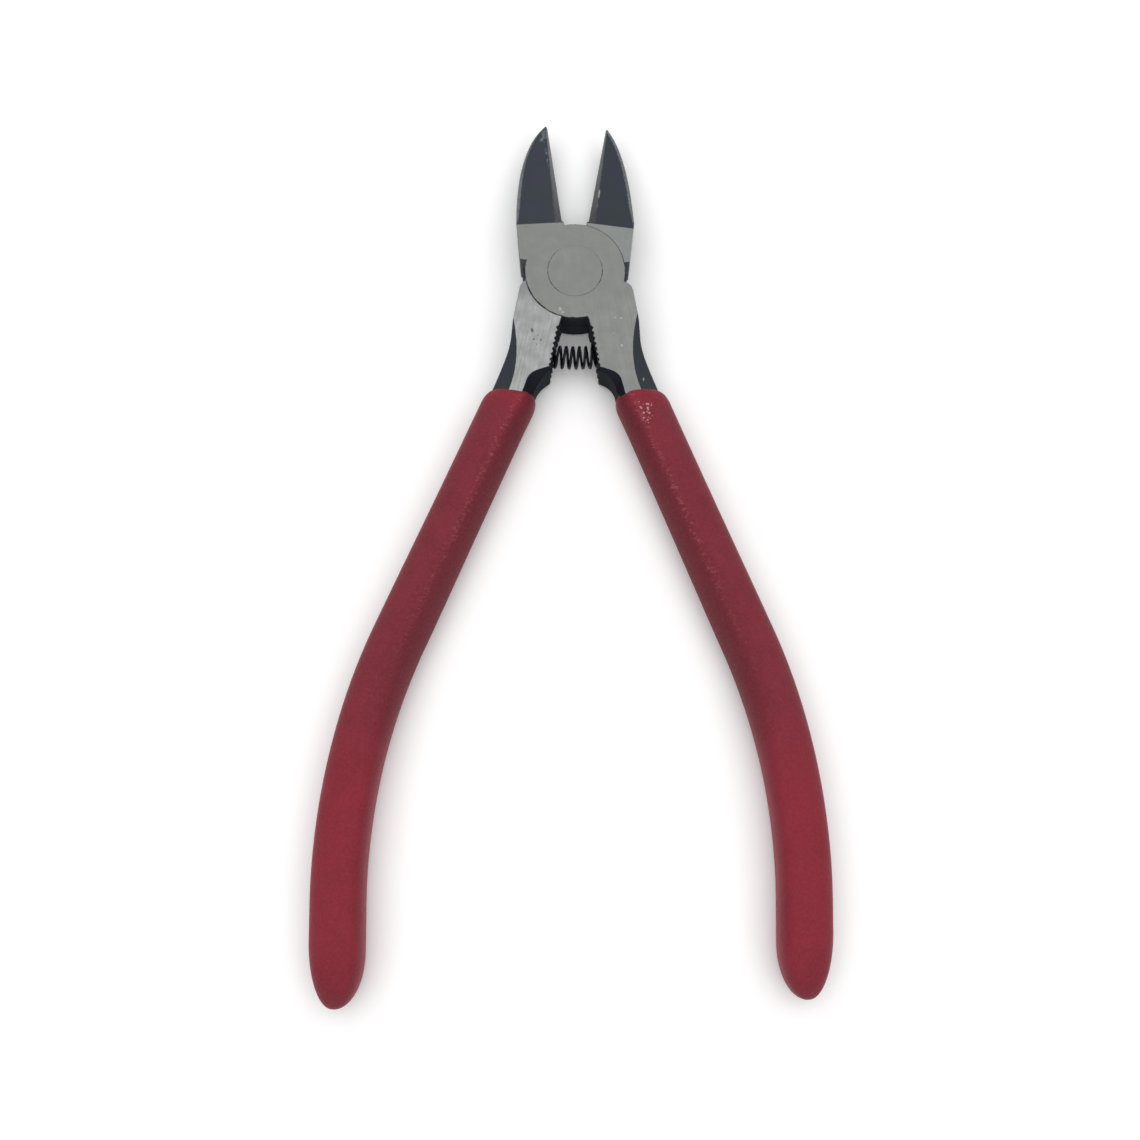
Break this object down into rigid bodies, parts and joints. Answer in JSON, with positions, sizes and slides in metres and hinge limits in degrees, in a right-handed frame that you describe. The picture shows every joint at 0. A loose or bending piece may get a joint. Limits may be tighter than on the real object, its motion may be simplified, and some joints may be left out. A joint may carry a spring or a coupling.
{
  "type": "side cutters",
  "caption": "Lap-jointed side cutters for wire: short diagonal jaws on a flush rivet, a coiled return spring between the necks and long dipped grips that bow outwards.",
  "frame": {"origin": "on the pivot axis, at the rear face of the head", "axes": "+Z along the pivot axis towards the front face, +Y from the pivot towards the jaw tips, +X towards the right grip"},
  "size_m": [0.0863, 0.1571, 0.01],
  "materials": {
    "half_steel": "ground flat faces over dark blue-grey forged flanks and jaw slopes",
    "rivet_steel": "ground flush with the head",
    "spring_steel": "black oiled wire",
    "grip_vinyl": "dipped vinyl, muted crimson, finely pebbled"
  },
  "bodies": {
    "front": {"front_half": "half_steel", "right_grip": "grip_vinyl", "pivot_rivet": "rivet_steel", "return_spring": "spring_steel"},
    "rear": {"rear_half": "half_steel", "left_grip": "grip_vinyl"}
  },
  "joints": [
    {"name": "pivot", "type": "hinge", "parent": "front", "child": "rear", "pos_m": [0, 0, 0], "axis": [0, 0, 1], "range_deg": [-23, 20.6], "stiffness_Nm_per_rad": 0.6, "deforming": ["return_spring"]}
  ]
}
